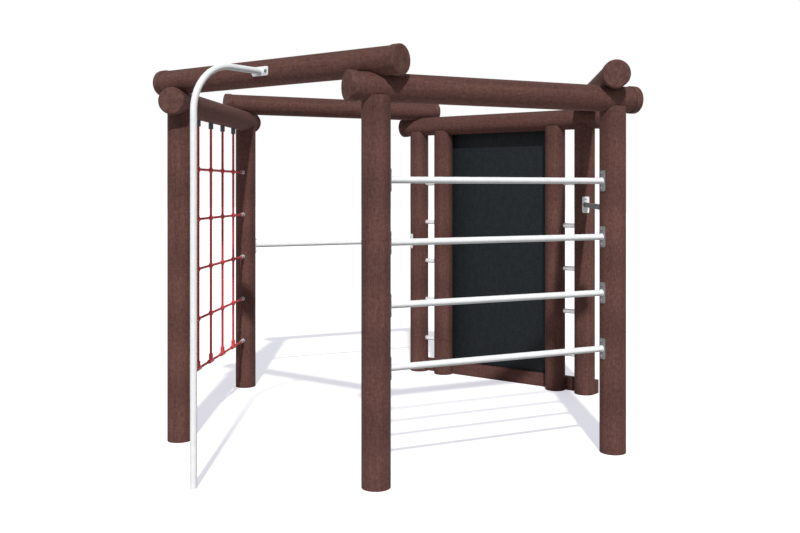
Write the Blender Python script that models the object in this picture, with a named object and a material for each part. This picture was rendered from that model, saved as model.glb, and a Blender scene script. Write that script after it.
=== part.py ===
# Hexagonal log climbing frame: round posts and beams, climbing bars, a rope net, a wall and a pole
#
# Units are metres, +Z is up and the ground is at z = 0.
# Seen from above the posts A to F stand counter-clockwise on a regular hexagon. The sides carry,
# in that order: AB the sliding pole, BC four climbing bars, CD a high bar, DE the wall,
# EF a low bar and FA the rope net.
# Every side has an empty at its middle on the ground: its X runs along the side, its Y points
# into the frame, so a piece that stands outwards of the posts has a negative y.

from math import acos, atan2, cos, pi, radians, sin, sqrt

import bmesh
import bpy
from mathutils import Matrix, Vector

# Running clearance between pieces that touch
GAP = 0.0003

# Round timber
POST_RADIUS = 0.090
POST_HEIGHT = 2.385
POST_SPACING = 1.776
BEAM_RADIUS = 0.090
BEAM_OVERHANG = 0.1935
CAP_LENGTH = 0.055
CAP_WALL = 0.0055
CAP_ROUND = 0.010
CAP_STEPS = 2
SADDLE_DEPTH = 0.038
NOTCH_DEPTH = 0.027
LOG_SIDES = 36

# Galvanised tube and the curved plates welded to its ends
TUBE_RADIUS = 0.0212
TUBE_WALL = 0.003
TUBE_SIDES = 20
FLANGE_WIDTH = 0.060
FLANGE_HEIGHT = 0.144
FLANGE_THICKNESS = 0.005
FLANGE_CORNER = 0.012
FLANGE_STEPS = 7

# Heights of the bars; the rungs beside the wall start one step lower than the climbing bars
FIRST_RUNG_HEIGHT = 0.335
RUNG_STEP = 0.384
RUNGS = 5
HIGH_BAR_HEIGHT = 1.676
LOW_BAR_HEIGHT = 1.296

# Sliding pole
POLE_STANDOFF = 0.660
POLE_BEND_RADIUS = 0.300
POLE_BEND_STEPS = 9

# Wall between two posts of its own
WALL_POST_OFFSET = 0.2865
RUNG_SEAT = 0.040
RUNG_SIDES = 16
RAIL_HEIGHT = 0.120
RAIL_THICKNESS = 0.060
RAIL_NOTCH = 0.062
RAIL_OVERHANG = 0.096
PANEL_THICKNESS = 0.020
PANEL_REBATE = 0.0225
PANEL_EDGE_INSET = 0.010

# Rope net
ROPE_RADIUS = 0.010
ROPE_SIDES = 12
NET_ROPES = 4
NET_FOOT = 0.433
NET_TOP_DROP = 0.381
NET_ROWS = 5
NECK_WALL = 0.0025
CONNECTOR_WALL = 0.0097
CONNECTOR_LENGTH = 0.042
CONNECTOR_STEPS = 2
TEE_WALL = 0.0065
TEE_LENGTH = 0.100
TEE_HEIGHT = 0.060
TEE_TAPER = 0.010
TEE_FLARE = 0.016
TEE_FLARE_HEIGHT = 0.042
TEE_FLARE_STEPS = 3
FERRULE_WALL = 0.0087
FERRULE_LENGTH = 0.050
FERRULE_BORE_DEPTH = 0.036
FERRULE_CHAMFER = 0.003
SOCKET_WALL = 0.0035
SOCKET_LENGTH = 0.070
SOCKET_BORE_DEPTH = 0.055
SOCKET_FLANGE_LIP = 0.0035
SOCKET_FLANGE_THICKNESS = 0.006
SOCKET_CHAMFER = 0.002

# How far a cutter runs past the piece that it cuts
CUTTER_EXCESS = 0.050

# Edges that turn by more are shaded sharp
SHARP_ANGLE = radians(35)

# Least difference between two unlike places
TOLERANCE = 1e-5

# Posts in order, counter-clockwise from above
CORNERS = "abcdef"

# Places that follow from the sizes
APOTHEM = POST_SPACING * cos(pi / 6)
LOWER_BEAM_HEIGHT = POST_HEIGHT - SADDLE_DEPTH + BEAM_RADIUS
UPPER_BEAM_HEIGHT = LOWER_BEAM_HEIGHT + 2 * BEAM_RADIUS - NOTCH_DEPTH
BEAM_LENGTH = POST_SPACING + 2 * BEAM_OVERHANG
PANEL_SETBACK = POST_RADIUS - PANEL_REBATE
RAIL_SETBACK = POST_RADIUS - RAIL_NOTCH
ROPE_BORE = ROPE_RADIUS + GAP
NECK_RADIUS = ROPE_BORE + NECK_WALL
CONNECTOR_RADIUS = ROPE_BORE + CONNECTOR_WALL
TEE_RADIUS = ROPE_BORE + TEE_WALL
FERRULE_RADIUS = ROPE_BORE + FERRULE_WALL
SOCKET_RADIUS = ROPE_BORE + SOCKET_WALL
SOCKET_FLANGE_RADIUS = SOCKET_RADIUS + SOCKET_FLANGE_LIP
WALL_POST_X = POST_SPACING / 2 - WALL_POST_OFFSET

# Base colour, roughness and metallic value of each finish
FINISHES = {
    "timber": ((0.127, 0.058, 0.048), 0.75, 0.0),
    "galvanised": ((0.62, 0.64, 0.65), 0.38, 1.0),
    "panel": ((0.013, 0.019, 0.021), 0.55, 0.0),
    "rope": ((0.52, 0.022, 0.030), 0.80, 0.0),
    "ferrule": ((0.045, 0.048, 0.050), 0.45, 0.0),
}


# Mesh helpers

def ring_on_z(height, radius, flare=0.0):
    """Ring square to Z; a flare widens it along X."""
    across = Vector((1 + flare / radius, 0, 0))
    return Vector((0, 0, height)), across, Vector((0, 1, 0)), radius


def ring_on_x(place, radius):
    """Ring square to X."""
    return Vector((place, 0, 0)), Vector((0, 1, 0)), Vector((0, 0, 1)), radius


def loft(bm, rings, sides, endless=False):
    """Round body through rings of centre, two axes and radius; endless joins last to first."""
    loops = []
    for centre, across, along, radius in rings:
        loop = []
        for step in range(sides):
            turn = 2 * pi * step / sides
            point = centre + radius * (cos(turn) * across + sin(turn) * along)
            loop.append(bm.verts.new(point))
        loops.append(loop)
    pairs = list(zip(loops, loops[1:]))
    if endless:
        pairs.append((loops[-1], loops[0]))
    else:
        bm.faces.new(loops[0])
        bm.faces.new(loops[-1])
    for low, high in pairs:
        for step in range(sides):
            after = (step + 1) % sides
            bm.faces.new((low[step], low[after], high[after], high[step]))


def finished_mesh(bm, name):
    """Mesh with its faces pointing out and its round faces smooth."""
    bmesh.ops.recalc_face_normals(bm, faces=bm.faces)
    mesh = bpy.data.meshes.new(name)
    bm.to_mesh(mesh)
    bm.free()
    mesh.shade_smooth()
    mesh.set_sharp_from_angle(angle=SHARP_ANGLE)
    return mesh


def lofted_mesh(name, rings, sides, endless=False):
    bm = bmesh.new()
    loft(bm, rings, sides, endless)
    return finished_mesh(bm, name)


def box_mesh(name, low, high):
    """Box between two opposite corners."""
    bm = bmesh.new()
    size = [b - a for a, b in zip(low, high)]
    middle = [(a + b) / 2 for a, b in zip(low, high)]
    place = Matrix.Translation(middle) @ Matrix.Diagonal((*size, 1))
    bmesh.ops.create_cube(bm, size=1, matrix=place)
    return finished_mesh(bm, name)


def joined_mesh(name, base, joins=(), cuts=()):
    """Mesh of a base with other meshes united with it, and then others cut out of it."""
    body = bpy.data.objects.new(name, base)
    bpy.context.collection.objects.link(body)
    tools = []
    for operation, meshes in (("UNION", joins), ("DIFFERENCE", cuts)):
        for mesh in meshes:
            tool = bpy.data.objects.new(name + "_tool", mesh)
            bpy.context.collection.objects.link(tool)
            tools.append(tool)
            add_boolean(body, tool, operation)
    depsgraph = bpy.context.evaluated_depsgraph_get()
    mesh = bpy.data.meshes.new_from_object(body.evaluated_get(depsgraph))
    for thing in tools + [body]:
        bpy.data.objects.remove(thing)
    mesh.name = name
    mesh.shade_smooth()
    mesh.set_sharp_from_angle(angle=SHARP_ANGLE)
    return mesh


def moved_mesh(mesh, matrix):
    copy = mesh.copy()
    copy.transform(matrix)
    return copy


def add_boolean(target, tool, operation="DIFFERENCE"):
    modifier = target.modifiers.new(tool.name, "BOOLEAN")
    modifier.operation = operation
    modifier.solver = "EXACT"
    modifier.object = tool


# Object helpers

def painted(name, finish):
    colour, roughness, metallic = FINISHES[finish]
    material = bpy.data.materials.new(name)
    material.use_nodes = True
    shader = material.node_tree.nodes["Principled BSDF"]
    shader.inputs["Base Color"].default_value = (*colour, 1)
    shader.inputs["Roughness"].default_value = roughness
    shader.inputs["Metallic"].default_value = metallic
    return material


def placed(name, mesh, parent=None, location=(0, 0, 0), turn=0.0):
    """Object in the scene, turned about Z."""
    thing = bpy.data.objects.new(name, mesh)
    thing.parent = parent
    thing.location = location
    thing.rotation_euler = (0, 0, turn)
    bpy.context.collection.objects.link(thing)
    return thing


def piece(name, mesh, finish, parent=None, location=(0, 0, 0), turn=0.0):
    """Sub-part with a material of its own; copies share one mesh, so the object holds it."""
    part = placed(name, mesh, parent, location, turn)
    if not mesh.materials:
        mesh.materials.append(None)
    part.material_slots[0].link = "OBJECT"
    part.material_slots[0].material = painted(name, finish)
    return part


def cutter(name, mesh, parent=None, location=(0, 0, 0)):
    tool = placed(name, mesh, parent, location)
    tool.display_type = "WIRE"
    tool.hide_render = True
    return tool


# The six sides

def cap_profile():
    """Distance from the beam's end and radius along its end cap, with a rounded outer edge."""
    outer = BEAM_RADIUS + CAP_WALL
    profile = []
    for step in range(CAP_STEPS + 1):
        turn = pi / 2 * step / CAP_STEPS
        profile.append((CAP_ROUND * (1 - cos(turn)), outer - CAP_ROUND * (1 - sin(turn))))
    return profile + [(CAP_LENGTH, outer), (CAP_LENGTH, BEAM_RADIUS)]


def centre_y():
    """Place of the hexagon's centre that leaves the ground's origin midway in the depth."""
    front = APOTHEM + POLE_STANDOFF + TUBE_RADIUS
    back = APOTHEM + max((BEAM_OVERHANG - inwards) * sin(pi / 3) + radius * cos(pi / 3)
                         for inwards, radius in cap_profile())
    return (front - back) / 2


def corner(letter):
    """Place of a post on the ground."""
    turn = radians(60 * CORNERS.index(letter) - 120)
    return Vector((POST_SPACING * cos(turn), centre_y() + POST_SPACING * sin(turn), 0))


def make_sides():
    sides = {}
    for start, end in zip(CORNERS, CORNERS[1:] + CORNERS[0]):
        run = corner(end) - corner(start)
        side = bpy.data.objects.new("side_" + start + end, None)
        side.location = (corner(start) + corner(end)) / 2
        side.rotation_euler = (0, 0, atan2(run.y, run.x))
        bpy.context.collection.objects.link(side)
        sides[start + end] = side
    return sides


# Timber

def log_cutter_mesh(name, radius, length):
    """Log along X with the clearance of what is cut by it."""
    half = length / 2 + CUTTER_EXCESS
    return lofted_mesh(name, [ring_on_x(x, radius + GAP) for x in (-half, half)], LOG_SIDES)


def make_beam_cutters(sides):
    mesh = log_cutter_mesh("beam_cutter", BEAM_RADIUS, BEAM_LENGTH)
    lower = {}
    for name in ("bc", "de", "fa"):
        place = (0, 0, LOWER_BEAM_HEIGHT)
        lower[name] = cutter("cutter_beam_" + name, mesh, sides[name], place)
    return lower


def make_beams(sides, beam_cutters):
    """Three lower beams, and three upper ones notched over them at the corners."""
    half = BEAM_LENGTH / 2
    rings = [ring_on_x(inwards - half, radius) for inwards, radius in cap_profile()]
    rings += [ring_on_x(half - inwards, radius) for inwards, radius in reversed(cap_profile())]
    mesh = lofted_mesh("beam", rings, LOG_SIDES)
    for name in ("bc", "de", "fa"):
        piece("lower_beam_" + name, mesh, "timber", sides[name], (0, 0, LOWER_BEAM_HEIGHT))
    for name, before, after in (("ab", "fa", "bc"), ("cd", "bc", "de"), ("ef", "de", "fa")):
        beam = piece("upper_beam_" + name, mesh, "timber", sides[name], (0, 0, UPPER_BEAM_HEIGHT))
        add_boolean(beam, beam_cutters[before])
        add_boolean(beam, beam_cutters[after])


def make_posts(sides, beam_cutters, wall_cutters):
    """Corner posts and wall posts, each with a saddle in its top for the lower beam."""
    mesh = lofted_mesh("post", [ring_on_z(z, POST_RADIUS) for z in (0, POST_HEIGHT)], LOG_SIDES)
    for letter, beam in zip(CORNERS, ("fa", "bc", "bc", "de", "de", "fa")):
        post = piece("corner_post_" + letter, mesh, "timber", None, corner(letter))
        add_boolean(post, beam_cutters[beam])
        if beam == "de":
            add_boolean(post, wall_cutters["rungs_" + letter])
            add_boolean(post, wall_cutters["rail"])
    for name, x, rungs in (("h", -WALL_POST_X, "rungs_d"), ("g", WALL_POST_X, "rungs_e")):
        post = piece("wall_post_" + name, mesh, "timber", sides["de"], (x, 0, 0))
        add_boolean(post, beam_cutters["de"])
        for tool in (rungs, "rail", "panel"):
            add_boolean(post, wall_cutters[tool])


# Bars of tube with a curved plate at each end

def flange_mesh(log_radius):
    """Plate curved round a log that stands on Z at the origin; it faces +X, with round corners."""
    inner = log_radius + GAP
    outer = inner + FLANGE_THICKNESS
    half_turn = FLANGE_WIDTH / 2 / log_radius
    turns = [half_turn * (2 * step / FLANGE_STEPS - 1) for step in range(FLANGE_STEPS + 1)]
    bm = bmesh.new()
    outline = [(inner * cos(t), inner * sin(t)) for t in turns]
    outline += [(outer * cos(t), outer * sin(t)) for t in reversed(turns)]
    bottom = bm.faces.new([bm.verts.new((x, y, -FLANGE_HEIGHT / 2)) for x, y in outline])
    grown = bmesh.ops.extrude_face_region(bm, geom=[bottom])["geom"]
    raised = [v for v in grown if isinstance(v, bmesh.types.BMVert)]
    bmesh.ops.translate(bm, verts=raised, vec=(0, 0, FLANGE_HEIGHT))
    corners = [e for e in bm.edges if is_corner_edge(e, half_turn)]
    bmesh.ops.bevel(bm, geom=corners, offset=FLANGE_CORNER, segments=2, profile=0.5,
                    affect="EDGES")
    return finished_mesh(bm, "flange")


def is_corner_edge(edge, half_turn):
    """True for the short edges through the plate's thickness at its four corners."""
    a, b = (v.co for v in edge.verts)
    at_side = abs(abs(atan2(a.y, a.x)) - half_turn) < TOLERANCE
    same_turn = abs(atan2(a.y, a.x) - atan2(b.y, b.x)) < TOLERANCE
    return at_side and same_turn and abs(a.z - b.z) < TOLERANCE


def tube_end(log_radius):
    """Distance from a log's axis at which a tube ends, inside the plate round that log."""
    back = log_radius + GAP
    front = sqrt((back + FLANGE_THICKNESS) ** 2 - TUBE_RADIUS ** 2)
    return (back + front) / 2


def rung_heights():
    return [FIRST_RUNG_HEIGHT + RUNG_STEP * step for step in range(RUNGS)]


def bar_mesh():
    """Bar along X between two posts; the bore runs through both plates, as a vent."""
    reach = POST_SPACING / 2 - tube_end(POST_RADIUS)
    tube = lofted_mesh("bar_tube", [ring_on_x(x, TUBE_RADIUS) for x in (-reach, reach)],
                       TUBE_SIDES)
    through = POST_SPACING / 2
    bore = lofted_mesh("bar_bore", [ring_on_x(x, TUBE_RADIUS - TUBE_WALL)
                                    for x in (-through, through)], TUBE_SIDES)
    plate = flange_mesh(POST_RADIUS)
    ends = [moved_mesh(plate, Matrix.Translation((-POST_SPACING / 2, 0, 0))),
            moved_mesh(plate, Matrix.Translation((POST_SPACING / 2, 0, 0))
                       @ Matrix.Rotation(pi, 4, "Z"))]
    return joined_mesh("bar", tube, ends, [bore])


def make_bars(sides):
    mesh = bar_mesh()
    for number, height in enumerate(rung_heights()[1:], 1):
        name = "climbing_bar_" + str(number)
        piece(name, mesh, "galvanised", sides["bc"], (0, 0, height))
    piece("high_bar", mesh, "galvanised", sides["cd"], (0, 0, HIGH_BAR_HEIGHT))
    piece("low_bar", mesh, "galvanised", sides["ef"], (0, 0, LOW_BAR_HEIGHT))


# Sliding pole

def make_pole(sides):
    """Tube up from the ground, bent over to a plate on the outer face of the upper beam."""
    bend_y = POLE_BEND_RADIUS - POLE_STANDOFF
    bend_z = UPPER_BEAM_HEIGHT - POLE_BEND_RADIUS
    across = Vector((1, 0, 0))
    path = [(Vector((0, -POLE_STANDOFF, 0)), Vector((0, 1, 0)))]
    for step in range(POLE_BEND_STEPS + 1):
        turn = pi / 2 * step / POLE_BEND_STEPS
        normal = Vector((0, cos(turn), -sin(turn)))
        path.append((Vector((0, bend_y, bend_z)) - POLE_BEND_RADIUS * normal, normal))
    path.append((Vector((0, -tube_end(BEAM_RADIUS), UPPER_BEAM_HEIGHT)), Vector((0, 0, -1))))
    outside = [(place, across, normal, TUBE_RADIUS) for place, normal in path]
    inside = [(place, across, normal, TUBE_RADIUS - TUBE_WALL) for place, normal in path]
    tube = lofted_mesh("pole_tube", outside + inside[::-1], TUBE_SIDES, endless=True)
    onto_beam = (Matrix.Translation((0, 0, UPPER_BEAM_HEIGHT)) @ Matrix.Rotation(-pi / 2, 4, "Z")
                 @ Matrix.Rotation(pi / 2, 4, "X"))
    plate = moved_mesh(flange_mesh(BEAM_RADIUS), onto_beam)
    mesh = joined_mesh("pole", tube, [plate])
    piece("sliding_pole", mesh, "galvanised", sides["ab"])


# Wall

def rung_half_length():
    return WALL_POST_OFFSET / 2 - POST_RADIUS + RUNG_SEAT


def rung_place(letter):
    """Middle of the gap between a corner post and its wall post, along side DE."""
    middle = POST_SPACING / 2 - WALL_POST_OFFSET / 2
    return -middle if letter == "d" else middle


def make_wall_cutters(sides):
    """Blind seats for the rungs, a notch for the rail and a rebate for the panel."""
    side = sides["de"]
    half = rung_half_length() + GAP
    seats = {}
    bm = bmesh.new()
    for height in rung_heights():
        rings = [ring_on_x(x, TUBE_RADIUS + GAP) for x in (-half, half)]
        rings = [(centre + Vector((0, 0, height)), *rest) for centre, *rest in rings]
        loft(bm, rings, RUNG_SIDES)
    comb = finished_mesh(bm, "rung_seats")
    for letter in "de":
        name = "rungs_" + letter
        seats[name] = cutter("cutter_" + name, comb, side, (rung_place(letter), 0, 0))
    run = POST_SPACING / 2 + RAIL_OVERHANG + CUTTER_EXCESS
    back = -POST_RADIUS - CUTTER_EXCESS
    notch = box_mesh("rail_notch", (-run, back, -CUTTER_EXCESS),
                     (run, GAP - RAIL_SETBACK, RAIL_HEIGHT + GAP))
    seats["rail"] = cutter("cutter_rail", notch, side)
    edge = WALL_POST_X - PANEL_EDGE_INSET + GAP
    rebate = box_mesh("panel_rebate", (-edge, back, RAIL_HEIGHT / 2),
                      (edge, GAP - PANEL_SETBACK, POST_HEIGHT + CUTTER_EXCESS))
    seats["panel"] = cutter("cutter_panel", rebate, side)
    return seats


def make_wall(sides):
    side = sides["de"]
    half = rung_half_length()
    inner = TUBE_RADIUS - TUBE_WALL
    rings = [ring_on_x(-half, TUBE_RADIUS), ring_on_x(half, TUBE_RADIUS),
             ring_on_x(half, inner), ring_on_x(-half, inner)]
    rung = lofted_mesh("rung", rings, RUNG_SIDES, endless=True)
    for letter in "de":
        for number, height in enumerate(rung_heights(), 1):
            name = "rung_" + letter + "_" + str(number)
            piece(name, rung, "galvanised", side, (rung_place(letter), 0, height))
    run = POST_SPACING / 2 + RAIL_OVERHANG
    rail = box_mesh("rail", (-run, -RAIL_SETBACK - RAIL_THICKNESS, 0),
                    (run, -RAIL_SETBACK, RAIL_HEIGHT))
    piece("bottom_rail", rail, "timber", side)
    edge = WALL_POST_X - PANEL_EDGE_INSET
    under_beam = LOWER_BEAM_HEIGHT - sqrt((BEAM_RADIUS + GAP) ** 2 - PANEL_SETBACK ** 2)
    panel = box_mesh("panel", (-edge, -PANEL_SETBACK - PANEL_THICKNESS, RAIL_HEIGHT + GAP),
                     (edge, -PANEL_SETBACK, under_beam - GAP))
    piece("wall_panel", panel, "panel", side)


# Rope net

def net_columns():
    """Places along side FA that leave equal gaps between the posts and the upright ropes."""
    clear = POST_SPACING - 2 * POST_RADIUS
    return [clear * (step / (NET_ROPES + 1) - 0.5) for step in range(1, NET_ROPES + 1)]


def net_rows():
    """Heights of the level ropes."""
    rise = LOWER_BEAM_HEIGHT - BEAM_RADIUS - NET_TOP_DROP - NET_FOOT
    return [NET_FOOT + rise * step / (NET_ROWS - 1) for step in range(NET_ROWS)]


def connector_rings(height):
    """Ball round two crossed ropes, drawn in at both ends to a lip round the upright one."""
    half = CONNECTOR_LENGTH / 2
    last = acos(NECK_RADIUS / CONNECTOR_RADIUS)
    turns = [last * step / CONNECTOR_STEPS for step in range(-CONNECTOR_STEPS, CONNECTOR_STEPS + 1)]
    ball = [(half * sin(turn) / sin(last), CONNECTOR_RADIUS * cos(turn)) for turn in turns]
    profile = [(-half, ROPE_RADIUS)] + ball + [(half, ROPE_RADIUS)]
    return [ring_on_z(height + z, radius) for z, radius in profile]


def tee_rings(foot):
    """Upright arm of a tee, flared where it meets the level arm."""
    rings = []
    for step in range(TEE_FLARE_STEPS + 1):
        rise = step / TEE_FLARE_STEPS
        flare = TEE_FLARE * (1 - rise) ** 2
        rings.append(ring_on_z(foot + TEE_FLARE_HEIGHT * rise, TEE_RADIUS, flare))
    top = foot + TEE_HEIGHT
    return rings + [ring_on_z(top - TEE_TAPER, TEE_RADIUS), ring_on_z(top, NECK_RADIUS),
                    ring_on_z(top, ROPE_RADIUS)]


def upright_rope_mesh():
    """Upright rope with its connectors and its foot tee, bored for the level ropes."""
    top = LOWER_BEAM_HEIGHT - BEAM_RADIUS - FERRULE_LENGTH + FERRULE_BORE_DEPTH - GAP
    foot, *rows = net_rows()
    rings = tee_rings(foot)
    for height in rows:
        rings += connector_rings(height)
    rings.append(ring_on_z(top, ROPE_RADIUS))
    rope = lofted_mesh("upright_rope_body", rings, ROPE_SIDES)
    half = TEE_LENGTH / 2
    sleeve_rings = [ring_on_x(-half, NECK_RADIUS), ring_on_x(TEE_TAPER - half, TEE_RADIUS),
                    ring_on_x(half - TEE_TAPER, TEE_RADIUS), ring_on_x(half, NECK_RADIUS)]
    sleeve = moved_mesh(lofted_mesh("tee_sleeve", sleeve_rings, ROPE_SIDES),
                        Matrix.Translation((0, 0, foot)))
    bm = bmesh.new()
    for height in (foot, *rows):
        rings = [ring_on_x(x, ROPE_BORE) for x in (-TEE_LENGTH, TEE_LENGTH)]
        loft(bm, [(centre + Vector((0, 0, height)), *rest) for centre, *rest in rings],
             ROPE_SIDES)
    bores = finished_mesh(bm, "level_rope_bores")
    return joined_mesh("upright_rope", rope, [sleeve], [bores])


def ferrule_mesh():
    """Turned sleeve under the beam that holds the top end of an upright rope."""
    low = LOWER_BEAM_HEIGHT - BEAM_RADIUS - FERRULE_LENGTH
    rings = [ring_on_z(LOWER_BEAM_HEIGHT - BEAM_RADIUS / 2, FERRULE_RADIUS),
             ring_on_z(low + FERRULE_CHAMFER, FERRULE_RADIUS),
             ring_on_z(low, FERRULE_RADIUS - FERRULE_CHAMFER),
             ring_on_z(low, ROPE_BORE),
             ring_on_z(low + FERRULE_BORE_DEPTH, ROPE_BORE)]
    return lofted_mesh("ferrule", rings, ROPE_SIDES)


def socket_mesh():
    """Turned socket with a flange, outwards along X from the axis of its post."""
    seat = POST_RADIUS + SOCKET_FLANGE_THICKNESS
    mouth = POST_RADIUS + SOCKET_LENGTH
    rings = [ring_on_x(POST_RADIUS / 2, SOCKET_FLANGE_RADIUS),
             ring_on_x(seat - SOCKET_CHAMFER, SOCKET_FLANGE_RADIUS),
             ring_on_x(seat, SOCKET_FLANGE_RADIUS - SOCKET_CHAMFER),
             ring_on_x(seat, SOCKET_RADIUS),
             ring_on_x(mouth, SOCKET_RADIUS),
             ring_on_x(mouth, ROPE_BORE),
             ring_on_x(mouth - SOCKET_BORE_DEPTH, ROPE_BORE)]
    return lofted_mesh("socket", rings, ROPE_SIDES)


def make_net(sides, beam_cutter):
    side = sides["fa"]
    upright = upright_rope_mesh()
    ferrule = ferrule_mesh()
    for number, x in enumerate(net_columns(), 1):
        piece("net_upright_" + str(number), upright, "rope", side, (x, 0, 0))
        name = "net_ferrule_" + str(number)
        holder = piece(name, ferrule, "ferrule", side, (x, 0, 0))
        add_boolean(holder, beam_cutter)
    reach = POST_SPACING / 2 - POST_RADIUS - SOCKET_LENGTH + SOCKET_BORE_DEPTH - GAP
    level = lofted_mesh("level_rope", [ring_on_x(x, ROPE_RADIUS) for x in (-reach, reach)],
                        ROPE_SIDES)
    socket = socket_mesh()
    rings = [ring_on_z(z, POST_RADIUS + GAP) for z in (-CUTTER_EXCESS, POST_HEIGHT)]
    post_cutter = lofted_mesh("post_cutter", rings, LOG_SIDES)
    ends = {}
    for letter, x in (("f", -POST_SPACING / 2), ("a", POST_SPACING / 2)):
        ends[letter] = cutter("cutter_post_" + letter, post_cutter, side, (x, 0, 0))
    for number, height in enumerate(net_rows(), 1):
        piece("net_level_" + str(number), level, "rope", side, (0, 0, height))
        for letter, x, turn in (("f", -POST_SPACING / 2, 0), ("a", POST_SPACING / 2, pi)):
            name = "rope_socket_" + letter + "_" + str(number)
            holder = piece(name, socket, "galvanised", side, (x, 0, height), turn)
            add_boolean(holder, ends[letter])


def build():
    for thing in list(bpy.data.objects):
        bpy.data.objects.remove(thing)
    sides = make_sides()
    beam_cutters = make_beam_cutters(sides)
    wall_cutters = make_wall_cutters(sides)
    make_posts(sides, beam_cutters, wall_cutters)
    make_beams(sides, beam_cutters)
    make_bars(sides)
    make_pole(sides)
    make_wall(sides)
    make_net(sides, beam_cutters["fa"])


build()
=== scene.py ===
from math import atan2, cos, pi, radians, sin, sqrt

import bmesh
import bpy
from mathutils import Matrix, Vector


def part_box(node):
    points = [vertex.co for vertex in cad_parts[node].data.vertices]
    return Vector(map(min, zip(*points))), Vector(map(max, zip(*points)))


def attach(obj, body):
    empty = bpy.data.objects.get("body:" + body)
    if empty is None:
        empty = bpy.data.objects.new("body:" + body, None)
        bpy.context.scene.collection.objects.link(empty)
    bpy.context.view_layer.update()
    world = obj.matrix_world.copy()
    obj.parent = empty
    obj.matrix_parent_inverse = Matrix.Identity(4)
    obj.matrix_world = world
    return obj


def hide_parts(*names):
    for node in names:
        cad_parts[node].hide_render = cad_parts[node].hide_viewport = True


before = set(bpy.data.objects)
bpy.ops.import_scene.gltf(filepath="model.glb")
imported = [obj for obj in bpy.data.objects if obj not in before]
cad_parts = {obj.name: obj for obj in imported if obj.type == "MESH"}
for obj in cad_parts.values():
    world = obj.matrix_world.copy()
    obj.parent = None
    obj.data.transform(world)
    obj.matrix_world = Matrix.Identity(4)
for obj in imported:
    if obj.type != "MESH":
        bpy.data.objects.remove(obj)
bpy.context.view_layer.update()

# Camera, at the eye height of someone who stands in front of the corner between pole and bars
CAMERA_PLACE = (4.1748, -5.66118, 1.8167)
CAMERA_HEADING = 35.535
CAMERA_LENS = 40.32
CAMERA_SENSOR = 36
CAMERA_SHIFT = (0.000855, -0.09713)

# Light; the sun stands behind the camera
SUN_ELEVATION = 44.5
SUN_HEADING = 36.08
SUN_STRENGTH = 2.85
SUN_ANGLE = 1.8
SKY_COLOUR = (0.96, 0.98, 1.0)
SKY_STRENGTH = 0.25

# Floor; its colour lights the object, and what is seen of it is its lit shade and its glow together
FLOOR_SIZE = 120.0
FLOOR_THICKNESS = 0.02
FLOOR_COLOUR = (0.52, 0.52, 0.52)
FLOOR_SHADE = (0.76, 0.75, 0.67)
FLOOR_GLOW = (0.550, 0.550, 0.625)

# Axes by number
X_AXIS = 0
Z_AXIS = 2

# Clearance between pieces that touch
GAP = 0.0003

# Round pieces
LOG_SIDES = 72
TUBE_SIDES = 40
SMALL_SIDES = 32
BEVEL_SEGMENTS = 3
SHARP_ANGLE = radians(32)
CUTTER_EXCESS = 0.05

# Timber
LOG_RING_STEP = 0.12
CAP_LENGTH = 0.055
CAP_WALL = 0.0055
CAP_ROUND = 0.010
CAP_ROUND_STEPS = 8
CAP_RIM = 0.0015
CAP_RIM_STEPS = 3
POST_ARRIS = 0.003
ARRIS_STEPS = 4
PLANK_ARRIS = 0.003
BOARD_ARRIS = 0.0015

# Galvanised tube, plates, weld and bolts
TUBE_WALL = 0.003
FLANGE_WIDTH = 0.060
FLANGE_THICKNESS = 0.005
FLANGE_CORNER = 0.012
FLANGE_STEPS = 20
FLANGE_CORNER_STEPS = 6
FLANGE_EDGE = 0.0008
WELD_RADIUS = 0.0028
WELD_POINTS = 96
WELD_SIDES = 8
WELD_RIPPLES = 24
WELD_RIPPLE_SHARE = 0.1
BOLT_OFFSET = 0.053
BOLT_SINK = 0.001
WASHER_RADIUS = 0.012
WASHER_THICKNESS = 0.0022
WASHER_EDGE = 0.0004
BOLT_HEAD_RADIUS = 0.0098
BOLT_HEAD_HEIGHT = 0.0062
BOLT_HEAD_STEPS = 8
CLIMBING_BARS = 4
RUNGS = 5
POLE_BEND_RADIUS = 0.300
POLE_BEND_STEPS = 28

# Rope net
ROPE_RADIUS = 0.010
ROPE_LAY = 0.125
ROPE_STRANDS = 6
STRAND_RADIUS = 0.00375
STRAND_POINTS = 6
RINGS_PER_LAY = 16
NET_ROPES = 4
NET_ROWS = 5
MOULD_BORE = ROPE_RADIUS + 0.0001
NECK_WALL = 0.0025
CONNECTOR_WALL = 0.0097
CONNECTOR_LENGTH = 0.042
CONNECTOR_SEAM = 0.0006
BALL_SUBDIVISIONS = 4
COLLAR_ARRIS = 0.002
MOULD_VOXEL = 0.0016
MOULD_SMOOTHING = 6
TEE_WALL = 0.0065
TEE_LENGTH = 0.100
TEE_HEIGHT = 0.060
TEE_ARRIS = 0.004
TEE_FLARE = 0.016
TEE_FLARE_HEIGHT = 0.042
TEE_FLARE_STEPS = 8
TEE_SEAT = 1.5 * ROPE_RADIUS
FERRULE_WALL = 0.0087
FERRULE_LENGTH = 0.050
FERRULE_BORE_DEPTH = 0.036
FERRULE_ARRIS = 0.003
SOCKET_WALL = 0.0035
SOCKET_LENGTH = 0.070
SOCKET_BORE_DEPTH = 0.055
SOCKET_FLANGE_LIP = 0.0035
SOCKET_FLANGE_THICKNESS = 0.006
SOCKET_ARRIS = 0.002

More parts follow.
